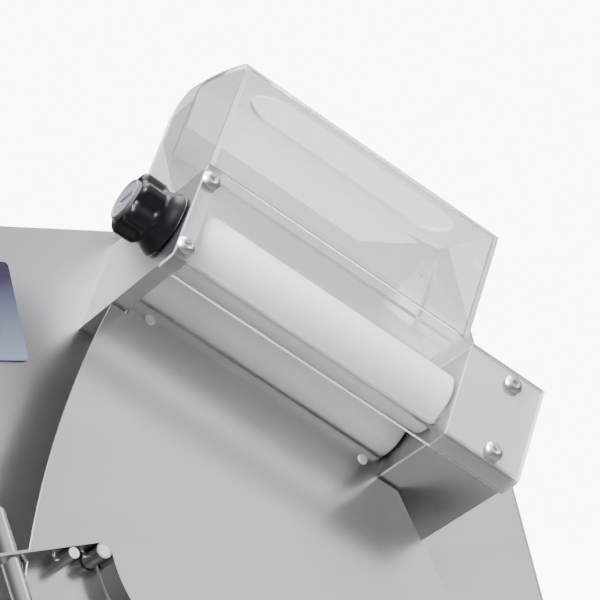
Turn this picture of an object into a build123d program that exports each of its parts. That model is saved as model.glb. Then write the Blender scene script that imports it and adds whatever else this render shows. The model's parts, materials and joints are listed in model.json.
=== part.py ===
"""Two-pass pizza dough sheeter, modelled in millimetres.

A steel cabinet leans back like a lectern.  On its front panel stand two roller
heads, one above the other: a short one, turned so that its rollers fall to the
right, and a wide level one below it.  A flat slide sheet joins them, and a
small balance tray on the sheet turns the dough between the two passes.

Frames.  The machine stands on z = 0 with its front towards -y and its origin
under the middle of its bounding box.  Everything on the front is drawn in flat
frames laid on the face of the front panel: local x runs along the face, local
y up the face, and local z straight out of it.
"""
import os
from math import atan2, cos, pi, radians, sin, sqrt, tan

from build123d import *

os.makedirs("parts", exist_ok=True)

# ---------------------------------------------------------------- cabinet
WIDTH = 420.0            # outside width
PANEL_TOP = 560.0        # height of the front panel's top edge
FOOT_HEIGHT = 25.0
TOP_DEPTH = 183.0        # front to back along the top cover
LEAN = 22.34             # degrees the front panel leans back
SHEET = 1.5              # cabinet sheet thickness
GLAND_REACH = 20.0       # how far the cable gland stands out behind

# ---------------------------------------------------------------- heads
FACE = 98.8              # guard's outer face above the panel
GUARD = 3.0              # clear sheet thickness
LEFT_PLATE = 9.0
RIGHT_PLATE = 8.0
RIGHT_BLOCK = 50.0       # width of the gear housing with its inner plate
FLANGE = 16.2            # guard's lower flange, front to back
ROLLER_TO_GUARD = 3.6
REST_GAP = 2.4           # between the rollers, knob turned fully open
GAP_TRAVEL = 2.0         # how far the front roller closes
SHAFT = 12.0
JOURNAL = 10.0           # front roller's shaft end
RUN = 0.05               # radial clearance of a running fit
CLEAR = 0.3              # clearance of a sliding or passing piece
MODULE = 2.5
TOOTH_REACH = 1.5        # tooth tip outside the pitch circle
TOOTH_DEPTH = 1.7        # tooth root inside the pitch circle

UPPER_TURN = 33.87       # degrees the upper rollers fall to the right
UPPER_AT = (-30.0, -7.8)     # guard's upper left corner, from the panel's top middle
UPPER_FREE = 171.0       # roller space between the plates
UPPER_HEIGHT = 62.3
UPPER_AXIS = 32.0        # roller axis below the guard's top
UPPER_ROLLER = 35.0
UPPER_TEETH = 14

LOWER_AT = (-175.0, -330.0)
LOWER_FREE = 311.0
LOWER_HEIGHT = 77.0
LOWER_AXIS = 38.0
LOWER_ROLLER = 40.0
LOWER_TEETH = 16
LOWER_COVER_RISE = 61.0  # the lower gear housing starts above the head, over its belt

# ---------------------------------------------------------------- knobs
KNOB = 40.0
KNOB_HEIGHT = 28.0
KNOB_GAP = 1.0
KNOB_LOBES = 6
SPINDLE = 8.0
SKIRT = 8.0              # height of the plain round part
WAIST = 4.0              # height of the narrow part above it
CAP = 24.0
CAP_HEIGHT = 2.0

# ---------------------------------------------------------------- hopper and chute
HOPPER_WIDTH = 175.6
HOPPER_FRONT = 76.3      # height of the front wall
HOPPER_CREST = (94.0, 61.8)      # a point on the roof: height, distance from panel
HOPPER_BACK = (105.3, 24.8)      # where the roof turns down at the back
HOPPER_REAR = 8.8        # rear edge of the side walls above the panel
HOPPER_WALL = 35.3       # middle of the clear back wall above the panel
FEED_SLOT = (138.0, 42.0)        # the oblong feed hole in the roof
FEED_AT = (92.0, 62.8)
CHUTE_BEND = 88.6        # where the chute leaves the panel
CHUTE_LIP = (7.0, 56.8)  # its lower lip: height, distance from panel
CHUTE_TOP = 100.0

# ---------------------------------------------------------------- slide and balance
SLIDE_FACE = 34.4        # slide sheet's front above the panel
SLIDE_END = -342.0       # its lower edge, up the panel
PIVOT = (-115.5, -205.6)
PIVOT_PIN = 6.4
PIVOT_TUBE = 8.6
STOP_AT = (-133.7, -206.6)
STOP_PIN = 6.0
TRAY_DEPTH = 15.0
TRAY_STRIP = 1.5
TRAY_BOW = 72.0          # radius of the bowed arm
ARM_RISE = 5.9           # degrees the short arm climbs towards the pivot
WEIGHT = (10.0, 52.0)    # balance weight's diameter and length
WEIGHT_AT = 51.5         # from the pivot along the short arm

# ---------------------------------------------------------------- drive
DRIVE_DEPTH = -90.0      # drive shaft behind the panel
PULLEY_U = 215.0         # upper belt pulley along the upper head
ROUND_BELT = 6.0
BELT_PITCH = 17.0        # radius of the belts' middle on every pulley
DRIVE_SHAFT = 14.0
FLAT_BELT = (10.0, 2.0)
TOOTHED_X = 180.0        # plane of the toothed belt
BELT_SLOT = (-358.0, -273.0)     # its slot, up the panel
MOTOR = 90.0

# ---------------------------------------------------------------- controls
LABEL = (-186.0, -102.0, -80.0, -22.0)     # left, right, bottom, top on the panel
BUTTON = 20.0
BUTTON_X = (-166.0, -134.0)
BUTTON_Y = -51.0
BUTTON_PRESS = 3.0
SCREW_HEAD = 10.5
SCREW_RISE = 3.0
SCREW_SHANK = 5.0

LEAN_SIN, LEAN_COS = sin(radians(LEAN)), cos(radians(LEAN))
PANEL_LENGTH = (PANEL_TOP - FOOT_HEIGHT - SHEET) / LEAN_COS
PANEL_BEVEL = SHEET * LEAN_SIN / LEAN_COS + 0.1     # what its lower edge leaves for the base
PLATE_FRONT = FACE - GUARD

LOW_CORNER = LOWER_HEIGHT + GUARD - LOWER_AT[1]
FRONT_REACH = LOW_CORNER * LEAN_SIN + FACE * LEAN_COS
BACK_REACH = TOP_DEPTH + GLAND_REACH
EDGE_Y = (FRONT_REACH - BACK_REACH) / 2      # y of the panel's top edge

STAND = (Align.CENTER, Align.CENTER, Align.MIN)      # a turned shape standing on z = 0
HANG = (Align.CENTER, Align.CENTER, Align.MAX)       # and one hanging below it

PANEL = Plane(origin=(0, EDGE_Y, PANEL_TOP), x_dir=(1, 0, 0), z_dir=(0, -LEAN_COS, LEAN_SIN))
WORLD = Plane.XY


def on_panel(at, turn):
    """A frame on the panel at (x, y), its x axis turned down by turn degrees."""
    return Plane(PANEL.location * Pos(at[0], at[1], 0) * Rot(0, 0, -turn))


# ---------------------------------------------------------------- plain shapes
def block(x, y, z):
    """A box from three (low, high) pairs."""
    middle = [(a + b) / 2 for a, b in (x, y, z)]
    return Pos(*middle) * Box(x[1] - x[0], y[1] - y[0], z[1] - z[0])


def rod_x(diameter, x, y, z):
    """A round bar along x from x[0] to x[1]."""
    return Pos((x[0] + x[1]) / 2, y, z) * Rot(0, 90, 0) * Cylinder(diameter / 2, x[1] - x[0])


def rod_z(diameter, x, y, z):
    """A round bar along z from z[0] to z[1]."""
    return Pos(x, y, (z[0] + z[1]) / 2) * Cylinder(diameter / 2, z[1] - z[0])


def side_profile(points):
    """A closed outline through (y, z) points, seen along x."""
    return make_face(Polyline(*points, close=True))


def across(face, x):
    """Stand a (y, z) outline up and extrude it from x[0] to x[1]."""
    stand = Plane(origin=(x[0], 0, 0), x_dir=(0, 1, 0), z_dir=(1, 0, 0))
    return stand.location * extrude(face, amount=x[1] - x[0])


def save(name, frame, *pieces):
    """Write one node's solids, moved from their frame into the machine's."""
    solids = []
    for piece in pieces:
        solids += (frame.location * piece).solids()
    export_step(Compound(children=solids) if len(solids) > 1 else solids[0], f"parts/{name}.step")


# ---------------------------------------------------------------- roller heads
class Head:
    """One pair of rollers between two side plates, in its own panel frame.

    x runs along the rollers from the left plate's outer face, y is 0 at the
    guard's top edge, and z is the height above the panel.
    """

    def __init__(self, name, frame, free, height, axis, roller, teeth, cover_rise=0.0):
        self.name, self.frame = name, frame
        self.free, self.height, self.axis = free, height, -axis
        self.roller, self.teeth, self.cover_rise = roller, teeth, cover_rise
        self.inner = LEFT_PLATE + free
        self.length = self.inner + RIGHT_BLOCK
        self.front = PLATE_FRONT - ROLLER_TO_GUARD - roller / 2
        self.rear = self.front - roller - REST_GAP
        self.block = (12.0, 13.0)      # half sizes of a bearing block along z and y

    def save(self, piece, *solids):
        save(f"{self.name}_{piece}", self.frame, *solids)

    def guard_screws(self):
        """Head-frame (x, y) of the four screws through the guard."""
        left, right = LEFT_PLATE / 2, self.length - 19.9
        return [(x, y) for x in (left, right) for y in (-9.0, 6.3 - self.height)]

    def window(self, x):
        """The space in which a bearing block slides, from x[0] to x[1]."""
        half_z, half_y = self.block
        return block(x, (self.axis - half_y - CLEAR, self.axis + half_y + CLEAR),
                     (self.front - half_z - GAP_TRAVEL - CLEAR, self.front + half_z + CLEAR))

    def left_plate(self):
        plate = block((0, LEFT_PLATE), (-self.height, 0), (0, PLATE_FRONT))
        plate -= self.window((2.5, LEFT_PLATE))
        plate -= rod_x(SPINDLE + 2 * RUN, (-1, 3), self.axis, self.front)
        plate -= rod_x(16.0, (2.5, LEFT_PLATE), self.axis, self.rear)
        for x, y in self.guard_screws()[:2]:
            plate -= rod_z(SCREW_SHANK, x, y, (PLATE_FRONT - 9, PLATE_FRONT))
        return plate

    def right_plate(self):
        x = (self.inner, self.inner + RIGHT_PLATE)
        plate = block(x, (SHEET - self.height, -SHEET), (0, PLATE_FRONT - SHEET))
        plate -= self.window(x)
        return plate - rod_x(16.0, x, self.axis, self.rear)

    def gear_cover(self):
        """A folded sheet housing, open to the panel and to the inner plate."""
        low, high = -self.height, self.cover_rise
        outer = block((self.inner, self.length), (low, high), (0, PLATE_FRONT))
        if self.cover_rise:
            outer -= block((self.inner, self.inner + RIGHT_PLATE), (0, high), (0, PLATE_FRONT))
        start = self.inner + (RIGHT_PLATE + SHEET if self.cover_rise else -1)
        hollow = block((self.inner - 1, self.length - SHEET), (low + SHEET, -SHEET),
                       (-1, PLATE_FRONT - SHEET))
        hollow += block((start, self.length - SHEET), (low + SHEET, high - SHEET),
                        (-1, PLATE_FRONT - SHEET))
        cover = outer - hollow
        for x, y in self.guard_screws()[2:]:
            cover -= rod_z(SCREW_SHANK, x, y, (PLATE_FRONT - 3, PLATE_FRONT + 1))
        return cover

    def guard(self):
        """A clear sheet bent back under the head at its lower edge."""
        low = -self.height - GUARD
        bent = side_profile([(0, FACE), (0, PLATE_FRONT), (low + GUARD, PLATE_FRONT),
                             (low + GUARD, FACE - FLANGE), (low, FACE - FLANGE), (low, FACE)])
        sheet = across(bent, (0, self.length))
        corner = sheet.edges().filter_by(Axis.X).sort_by(lambda e: e.center().Y - e.center().Z)[0]
        sheet = fillet(corner, GUARD)
        for x, y in self.guard_screws():
            sheet -= rod_z(SCREW_SHANK, x, y, (PLATE_FRONT - 1, FACE + 1))
        return sheet

    def bushes(self):
        """Plain bearings of the rear roller, one in each plate."""
        found = []
        for x in ((2.7, LEFT_PLATE), (self.inner, self.inner + RIGHT_PLATE)):
            ring = rod_x(16.0, x, self.axis, self.rear)
            found.append(ring - rod_x(SHAFT + 2 * RUN, x, self.axis, self.rear))
        return found

    def front_blocks(self):
        """Sliding bearing blocks of the front roller, one in each window."""
        half_z, half_y = self.block
        found = []
        for x in ((4.6, LEFT_PLATE - CLEAR), (self.inner + CLEAR, self.inner + RIGHT_PLATE - CLEAR)):
            piece = block(x, (self.axis - half_y, self.axis + half_y),
                          (self.front - half_z, self.front + half_z))
            upright = piece.edges().filter_by(Axis.X)
            piece = fillet(upright, 2.0)
            found.append(piece - rod_x(JOURNAL + 2 * RUN, x, self.axis, self.front))
        return found

    def sleeve(self, z):
        """A roller's plastic sleeve, its end edges rounded."""
        x = (LEFT_PLATE + 1, self.inner - 1)
        tube = rod_x(self.roller, x, self.axis, z)
        tube = fillet(tube.edges().filter_by(GeomType.CIRCLE), 1.5)
        return tube - rod_x(SHAFT, x, self.axis, z)

    def rear_shaft(self, end):
        return rod_x(SHAFT, (2.9, end), self.axis, self.rear)

    def front_shaft(self):
        """A bar turned down where it runs in the blocks and carries its gear."""
        body = rod_x(SHAFT, (LEFT_PLATE + 0.5, self.inner - 0.5), self.axis, self.front)
        ends = rod_x(JOURNAL, (4.8, self.inner + 23), self.axis, self.front)
        return body + ends

    def gear(self, z, bore, half_tooth):
        """A spur gear on the roller's right end, turned by half a tooth or not."""
        pitch = MODULE * self.teeth / 2
        x = (self.inner + 11, self.inner + 21)
        wheel = spur(self.teeth, pitch, 180.0 / self.teeth if half_tooth else 0.0)
        solid = Rot(0, 90, 0) * extrude(wheel, amount=x[1] - x[0])
        return Pos(x[0], self.axis, z) * solid - rod_x(bore, x, self.axis, z)

    def spindle(self):
        """The knob's bar, with the cam disc that moves the left block."""
        bar = rod_x(SPINDLE, (-KNOB_GAP - KNOB_HEIGHT + 8, 3), self.axis, self.front)
        return bar + rod_x(16.0, (2.8, 4.2), self.axis, self.front)

    def knob(self):
        """A lobed grip over a waist and a plain round skirt."""
        high = KNOB_HEIGHT - CAP_HEIGHT
        grip = Cylinder(KNOB / 2, high, align=STAND)
        for i in range(KNOB_LOBES):
            turn = Rot(0, 0, 360.0 * (i + 0.5) / KNOB_LOBES)
            grip -= turn * Pos(KNOB / 2 + 4.5, 0, SKIRT) * Cylinder(9.0, high, align=STAND)
        waist = Cylinder(KNOB, WAIST, align=STAND) - Cylinder(KNOB / 2 - 4, WAIST, align=STAND)
        grip -= Pos(0, 0, SKIRT) * waist
        grip -= Cylinder(SPINDLE / 2, KNOB_HEIGHT - 8, align=STAND)
        return self.beside(grip)

    def cap(self):
        return self.beside(Pos(0, 0, KNOB_HEIGHT - CAP_HEIGHT) * Cylinder(CAP / 2, CAP_HEIGHT, align=STAND))

    def beside(self, piece):
        """Stand a piece drawn along z on the left plate's outer face."""
        return Pos(-KNOB_GAP, self.axis, self.front) * Rot(0, -90, 0) * piece

    def build(self, rear_end):
        self.save("left_plate", self.left_plate())
        self.save("right_plate", self.right_plate())
        self.save("gear_cover", self.gear_cover())
        self.save("guard", self.guard())
        self.save("front_blocks", *self.front_blocks())
        self.save("front_roller", self.sleeve(self.front))
        self.save("rear_roller", self.sleeve(self.rear))
        self.save("front_shaft", self.front_shaft())
        self.save("rear_shaft", self.rear_shaft(rear_end))
        self.save("front_gear", self.gear(self.front, JOURNAL, True))
        self.save("rear_gear", self.gear(self.rear, SHAFT, False))
        self.save("gap_spindle", self.spindle())
        self.save("gap_knob", self.knob())
        self.save("gap_knob_cap", self.cap())


def spur(teeth, pitch, turn):
    """A gear outline: straight-flanked teeth, thinner at the tip than at the root."""
    root, tip = pitch - TOOTH_DEPTH, pitch + TOOTH_REACH
    step = 2 * pi / teeth
    points = []
    for i in range(teeth):
        middle = i * step + radians(turn)
        for radius, half in ((root, 0.27), (tip, 0.12), (tip, -0.12), (root, -0.27)):
            angle = middle - half * step
            points.append((radius * cos(angle), radius * sin(angle)))
    return make_face(Polyline(*points, close=True))


# ---------------------------------------------------------------- cabinet pieces
def side_panel(x):
    """A flat side with a leaning front edge."""
    foot = EDGE_Y - PANEL_LENGTH * LEAN_SIN
    back = EDGE_Y + TOP_DEPTH
    low = FOOT_HEIGHT + SHEET
    outline = side_profile([(foot, low), (EDGE_Y, PANEL_TOP), (back, PANEL_TOP), (back, low)])
    return across(outline, x)


def front_panel():
    """The leaning face, with holes for the two belts and the push buttons."""
    half = WIDTH / 2 - SHEET
    plate = block((-half, half), (PANEL_BEVEL - PANEL_LENGTH, 0), (-SHEET, 0))
    x, y = upper_pulley_at()
    plate -= block((x - 14, x + 14), (y - 25, y + 25), (-SHEET, 0))
    plate -= block((TOOTHED_X - 9, TOOTHED_X + 9), BELT_SLOT, (-SHEET, 0))
    for bx in BUTTON_X:
        plate -= rod_z(BUTTON - 2, bx, BUTTON_Y, (-SHEET, 0))
    return plate


def flat_covers():
    """Top cover, rear cover and base plate, between the side panels."""
    half = WIDTH / 2 - SHEET
    back = EDGE_Y + TOP_DEPTH
    foot = EDGE_Y - PANEL_LENGTH * LEAN_SIN
    start = EDGE_Y + SHEET / LEAN_COS + CLEAR
    low = FOOT_HEIGHT + SHEET
    top = block((-half, half), (start, back - SHEET), (PANEL_TOP - SHEET, PANEL_TOP))
    rear = block((-half, half), (back - SHEET, back), (low, PANEL_TOP))
    rear -= rear_vents(back)
    rear -= Pos(150, back, 70) * Rot(90, 0, 0) * Cylinder(8, 10)
    base = block((-WIDTH / 2, WIDTH / 2), (foot, back), (FOOT_HEIGHT, low))
    return top, rear, base


def rear_vents(back):
    """Eight cooling slots in two columns."""
    cuts = Part()
    for column in (-70, 70):
        for row in range(4):
            slot = Rot(90, 0, 0) * extrude(SlotOverall(90, 6), amount=10, both=True)
            cuts += Pos(column, back, 330 + 16 * row) * slot
    return cuts


def foot_pads():
    """Four tapered rubber feet under the base plate."""
    back = EDGE_Y + TOP_DEPTH
    front = EDGE_Y - PANEL_LENGTH * LEAN_SIN
    pads = []
    for x in (-WIDTH / 2 + 30, WIDTH / 2 - 30):
        for y in (front + 35, back - 35):
            pads.append(Pos(x, y, FOOT_HEIGHT / 2) * Rot(180, 0, 0) * Cone(17, 14, FOOT_HEIGHT))
    return pads


def cable_gland():
    """A hollow nut and threaded neck through the rear cover."""
    back = EDGE_Y + TOP_DEPTH
    nut = extrude(RegularPolygon(11, 6), amount=GLAND_REACH - 8)
    neck = Pos(0, 0, GLAND_REACH - 8) * Cone(9, 6.5, 8, align=STAND)
    stem = Cylinder(8, 12, align=HANG)
    body = nut + neck + stem
    body -= Cylinder(4, 80)
    return Pos(150, back, 70) * Rot(-90, 0, 0) * body


# ---------------------------------------------------------------- hopper and chute
def hopper():
    """A clear box over the upper rollers: wrap of front, roof and back, and two sides."""
    low = 0.6
    side = make_face([
        Line((low, FACE), (HOPPER_FRONT, FACE)),
        ThreePointArc((HOPPER_FRONT, FACE), HOPPER_CREST, HOPPER_BACK),
        RadiusArc(HOPPER_BACK, (HOPPER_BACK[0] - 14, HOPPER_REAR), -16),
        Line((HOPPER_BACK[0] - 14, HOPPER_REAR), (low, HOPPER_REAR)),
        Line((low, HOPPER_REAR), (low, FACE)),
    ])
    sides = across(side, (0, GUARD)) + across(side, (HOPPER_WIDTH - GUARD, HOPPER_WIDTH))
    inner = (GUARD, HOPPER_WIDTH - GUARD)
    full = across(side, inner)
    roof_cut = across(hopper_hollow(), inner)
    wrap = full - roof_cut
    back_low, back_z = 47.0, HOPPER_WALL - GUARD / 2
    wrap -= block((0, HOPPER_WIDTH), (-1, 200), (-50, back_z))
    wrap -= block((0, HOPPER_WIDTH), (-1, back_low), (-50, HOPPER_WALL + GUARD / 2))
    box = sides + wrap
    slot = Rot(-90, 0, 0) * extrude(SlotOverall(*FEED_SLOT), amount=40, both=True)
    return box - Pos(FEED_AT[0], 95, FEED_AT[1]) * slot


def hopper_hollow():
    """The hollow under the wrap: its outline, one sheet thickness inside."""
    centre, radius = roof_circle()
    inner = radius - GUARD
    back_z = HOPPER_WALL + GUARD / 2
    front_z = FACE - GUARD
    front_y = centre[0] + sqrt(inner ** 2 - (front_z - centre[1]) ** 2)
    back_y = centre[0] + sqrt(inner ** 2 - (back_z - centre[1]) ** 2)
    mid_z = (front_z + back_z) / 2
    mid_y = centre[0] + sqrt(inner ** 2 - (mid_z - centre[1]) ** 2)
    return make_face([
        Line((-1, front_z), (front_y, front_z)),
        ThreePointArc((front_y, front_z), (mid_y, mid_z), (back_y, back_z)),
        Line((back_y, back_z), (-1, back_z)),
        Line((-1, back_z), (-1, front_z)),
    ])


def roof_circle():
    """Centre (y, z) and radius of the roof's arc through its three points."""
    (ay, az), (by, bz), (cy, cz) = (HOPPER_FRONT, FACE), HOPPER_CREST, HOPPER_BACK
    d = 2 * (ay * (bz - cz) + by * (cz - az) + cy * (az - bz))
    a, b, c = ay ** 2 + az ** 2, by ** 2 + bz ** 2, cy ** 2 + cz ** 2
    y = (a * (bz - cz) + b * (cz - az) + c * (az - bz)) / d
    z = (a * (cy - by) + b * (ay - cy) + c * (by - ay)) / d
    return (y, z), sqrt((ay - y) ** 2 + (az - z) ** 2)


def hopper_screws():
    """Head-frame places of the screws through the hopper's right side: (x, y, z, outward)."""
    return [(HOPPER_WIDTH, y, 22.8, 1) for y in (85.0, 56.0)]


def hopper_screw_holes():
    holes = Part()
    for x, y, z, _ in hopper_screws():
        holes += rod_x(4.0, (x - 6, x + 6), y, z)
    return holes


def chute():
    """A steel back plate that slants down to the nip, with an upright flange at each end."""
    lip_y, lip_z = CHUTE_LIP
    slope = atan2(CHUTE_BEND - lip_y, lip_z)
    shift = SHEET / sin(slope)
    turn = SHEET * tan((pi / 2 - slope) / 2)
    strip = side_profile([
        (CHUTE_TOP, 0), (CHUTE_BEND, 0), (lip_y, lip_z), (lip_y + shift, lip_z),
        (CHUTE_BEND + turn, SHEET), (CHUTE_TOP, SHEET)])
    inside = (GUARD, HOPPER_WIDTH - GUARD)
    body = across(strip, inside)
    front_z = HOPPER_WALL - GUARD / 2 - CLEAR
    meet = CHUTE_BEND - front_z * (CHUTE_BEND - lip_y) / lip_z
    flange = side_profile([(CHUTE_TOP - 8, 0), (CHUTE_BEND, 0), (meet, front_z), (CHUTE_TOP - 8, front_z)])
    for x in ((inside[0], inside[0] + SHEET), (inside[1] - SHEET, inside[1])):
        body += across(flange, x)
    return body - hopper_screw_holes()


# ---------------------------------------------------------------- screws
def button_screw(length):
    """A round-headed socket screw, its head on z = 0 and its shank below."""
    dome = SCREW_HEAD / 2
    ball = (dome ** 2 + SCREW_RISE ** 2) / (2 * SCREW_RISE)
    head = Pos(0, 0, SCREW_RISE - ball) * Sphere(ball)
    head &= Pos(0, 0, SCREW_RISE / 2) * Cylinder(dome, SCREW_RISE)
    shank = Cylinder(SCREW_SHANK / 2, length, align=HANG)
    socket = extrude(RegularPolygon(1.9, 6), amount=5)
    return head + shank - Pos(0, 0, SCREW_RISE - 1.8) * socket


def all_screws(heads):
    """Every socket screw of the guards and the hopper, in the panel's frame."""
    found = []
    for head in heads:
        place = PANEL.location.inverse() * head.frame.location
        for x, y in head.guard_screws():
            length = GUARD + (8 if x < LEFT_PLATE else 2)
            found.append(place * Pos(x, y, FACE) * button_screw(length))
    place = PANEL.location.inverse() * heads[0].frame.location
    for x, y, z, way in hopper_screws():
        small = scale(button_screw(5.0), by=0.8)
        found.append(place * Pos(x, y, z) * Rot(0, 90 * way, 0) * small)
    return found


# ---------------------------------------------------------------- slide sheet
def head_to_panel(head_at, turn, x, y):
    """Panel (x, y) of a point given in a head's frame."""
    c, s = cos(radians(turn)), sin(radians(turn))
    return head_at[0] + x * c + y * s, head_at[1] - x * s + y * c


def upper_xy(x, y):
    return head_to_panel(UPPER_AT, UPPER_TURN, x, y)


def upper_pulley_at():
    """Panel (x, y) straight behind the upper belt pulley."""
    return upper_xy(PULLEY_U, -UPPER_AXIS)


def slide_sheet():
    """A flared sheet: notched round the upper head, full roller width below."""
    top, notch = -51.5, -63.7
    corner = (LEFT_PLATE + 1.4, LEFT_PLATE + UPPER_FREE - 1.4)
    left_top, right_top = upper_xy(corner[0], top), upper_xy(corner[1], top)
    right_notch, right_out = upper_xy(corner[1], notch), upper_xy(corner[1] + 15, notch)
    left_notch, left_out = upper_xy(corner[0], notch), upper_xy(0.0, notch)
    left_low, right_low = -163.4, 144.0
    outline = [
        Line(left_top, right_top),
        Line(right_top, right_notch),
        Line(right_notch, right_out),
        ThreePointArc(right_out, (112.7, -231.8), (137.0, -300.0)),
        RadiusArc((137.0, -300.0), (right_low, -336.0), 96.0),
        Line((right_low, -336.0), (right_low, SLIDE_END)),
        Line((right_low, SLIDE_END), (left_low, SLIDE_END)),
        Line((left_low, SLIDE_END), (left_low, -264.3)),
        RadiusArc((left_low, -264.3), (-153.6, -211.3), 150.0),
        ThreePointArc((-153.6, -211.3), (-117.3, -135.3), (-67.6, -63.5)),
        Line((-67.6, -63.5), left_out),
        Line(left_out, left_notch),
        Line(left_notch, left_top),
    ]
    sheet = extrude(make_face(outline), amount=SHEET)
    sheet = Pos(0, 0, SLIDE_FACE - SHEET) * sheet
    for x, y in slide_fixings():
        sheet -= rod_z(4.0, x, y, (SLIDE_FACE - SHEET, SLIDE_FACE))
    for (x, y), size in ((PIVOT, PIVOT_PIN), (STOP_AT, STOP_PIN)):
        sheet -= rod_z(size, x, y, (SLIDE_FACE - SHEET, SLIDE_FACE))
    return sheet


def slide_fixings():
    """Panel places of the spacers that carry the slide sheet."""
    return [upper_xy(23.3, -58.7), upper_xy(167.3, -58.7), (-140.0, -322.0), (118.0, -322.0)]


def spacers():
    return [rod_z(10.0, x, y, (0, SLIDE_FACE - SHEET)) - rod_z(4.0, x, y, (0, SLIDE_FACE))
            for x, y in slide_fixings()]


def rivets():
    """Low round heads on the slide sheet, their shanks down the spacers."""
    found = []
    for x, y in slide_fixings():
        head = Pos(x, y, SLIDE_FACE) * Cone(4.0, 2.6, 1.0, align=STAND)
        found.append(head + rod_z(4.0, x, y, (SLIDE_FACE - 20, SLIDE_FACE)))
    return found


# ---------------------------------------------------------------- balance tray
def tray_line():
    """Middle line of the bent strip: short arm, bend round the pivot, bowed arm, lip."""
    around = (PIVOT_TUBE + TRAY_STRIP) / 2
    rise = radians(ARM_RISE)
    px, py = PIVOT
    over = (px - around * sin(rise), py + around * cos(rise))
    arm = 64.0
    start = (over[0] - arm * cos(rise), over[1] - arm * sin(rise))
    beside = (px + around, py)
    middle = radians(90 + ARM_RISE) / 2
    bend = (px + around * cos(middle), py + around * sin(middle))
    centre = (beside[0] + TRAY_BOW, py)
    stop = radians(262)
    half = radians(221)
    bow = [(centre[0] + TRAY_BOW * cos(a), centre[1] + TRAY_BOW * sin(a)) for a in (half, stop)]
    lip = (bow[1][0] + 22 * cos(stop + pi / 2), bow[1][1] + 22 * sin(stop + pi / 2))
    return [Line(start, over), ThreePointArc(over, bend, beside),
            ThreePointArc(beside, bow[0], bow[1]), Line(bow[1], lip)]


def weight_place():
    """Where the balance weight crosses the short arm: frame with its y along the weight."""
    rise = radians(ARM_RISE)
    around = (PIVOT_TUBE + TRAY_STRIP) / 2
    x = PIVOT[0] - around * sin(rise) - WEIGHT_AT * cos(rise)
    y = PIVOT[1] + around * cos(rise) - WEIGHT_AT * sin(rise)
    return Pos(x, y, SLIDE_FACE + 1 + TRAY_DEPTH / 2) * Rot(0, 0, ARM_RISE)


def balance_tray():
    low = SLIDE_FACE + 1
    strip = extrude(trace(Curve(tray_line()), TRAY_STRIP), amount=TRAY_DEPTH)
    strip = Pos(0, 0, low) * strip
    hub = rod_z(PIVOT_TUBE, *PIVOT, (low, low + TRAY_DEPTH))
    hub -= rod_z(PIVOT_PIN + 2 * RUN, *PIVOT, (low, low + TRAY_DEPTH))
    hole = weight_place() * Rot(90, 0, 0) * Cylinder(WEIGHT[0] / 2, 8)
    return strip + hub - hole


def balance_weight():
    bar = Cylinder(WEIGHT[0] / 2, WEIGHT[1])
    bar = chamfer(bar.edges().filter_by(GeomType.CIRCLE), 1.2)
    return weight_place() * Rot(90, 0, 0) * bar


# ---------------------------------------------------------------- drive
def grooved_wheel(x):
    """A pulley for the round belt, centred on x along its own axis."""
    rim = rod_x(2 * BELT_PITCH + 6, (x - 7, x + 7), 0, 0)
    groove = Pos(x, 0, 0) * Rot(0, 90, 0) * Torus(BELT_PITCH, ROUND_BELT / 2 + 0.4)
    ring = rod_x(2 * BELT_PITCH + 20, (x - 4.6, x + 4.6), 0, 0)
    ring -= rod_x(2 * BELT_PITCH, (x - 5, x + 5), 0, 0)
    return rim - groove - ring


def toothed_wheel(x):
    """A flanged pulley for the toothed belt, centred on x."""
    half = FLAT_BELT[0] / 2 + 1
    drum = rod_x(2 * BELT_PITCH - FLAT_BELT[1] - 2 * CLEAR, (x - half, x + half), 0, 0)
    for low in (x - half - 1.5, x + half):
        drum += rod_x(2 * BELT_PITCH + 8, (low, low + 1.5), 0, 0)
    return drum


def round_belt(upper):
    """Two straight runs through the panel and a half turn round each pulley."""
    x, y = upper_pulley_at()
    turn = radians(UPPER_TURN)
    top = (x + BELT_PITCH * sin(turn), y + BELT_PITCH * cos(turn))
    low = (x - BELT_PITCH * sin(turn), y - BELT_PITCH * cos(turn))
    z = upper.rear
    front = ThreePointArc((*top, z), (x, y, z + BELT_PITCH), (*low, z))
    back = ThreePointArc((x, y + BELT_PITCH, DRIVE_DEPTH), (x, y, DRIVE_DEPTH - BELT_PITCH),
                         (x, y - BELT_PITCH, DRIVE_DEPTH))
    runs = [Line((*top, z), (x, y + BELT_PITCH, DRIVE_DEPTH)),
            Line((*low, z), (x, y - BELT_PITCH, DRIVE_DEPTH))]
    belt = Part()
    for path in (front, back, *runs):
        section = Plane(path @ 0, z_dir=path % 0) * Circle(ROUND_BELT / 2)
        belt += sweep(section, path=path)
    return belt


def toothed_belt(lower):
    """A flat loop round the drive pulley and the lower head's pulley."""
    ay, az = upper_pulley_at()[1], DRIVE_DEPTH
    by, bz = LOWER_AT[1] + lower.axis, lower.rear
    reach = sqrt((by - ay) ** 2 + (bz - az) ** 2)
    width, thick = FLAT_BELT
    outer = SlotCenterToCenter(reach, 2 * BELT_PITCH + thick)
    inner = SlotCenterToCenter(reach, 2 * BELT_PITCH - thick)
    loop = extrude(outer - inner, amount=width / 2, both=True)
    stand = Plane(origin=(TOOTHED_X, (ay + by) / 2, (az + bz) / 2),
                  x_dir=(0, by - ay, bz - az), z_dir=(1, 0, 0))
    return stand.location * loop


def drive_at(piece):
    """Move a piece drawn round the x axis onto the drive shaft's line."""
    return Pos(0, upper_pulley_at()[1], DRIVE_DEPTH) * piece


def drive_shaft():
    return drive_at(rod_x(DRIVE_SHAFT, (70, 190), 0, 0))


def gearbox():
    body = block((58, 106), (-42, 42), (-42, 42))
    body = fillet(body.edges().filter_by(Axis.X), 8)
    return drive_at(body - rod_x(DRIVE_SHAFT + 2 * RUN, (69, 107), 0, 0))


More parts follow.
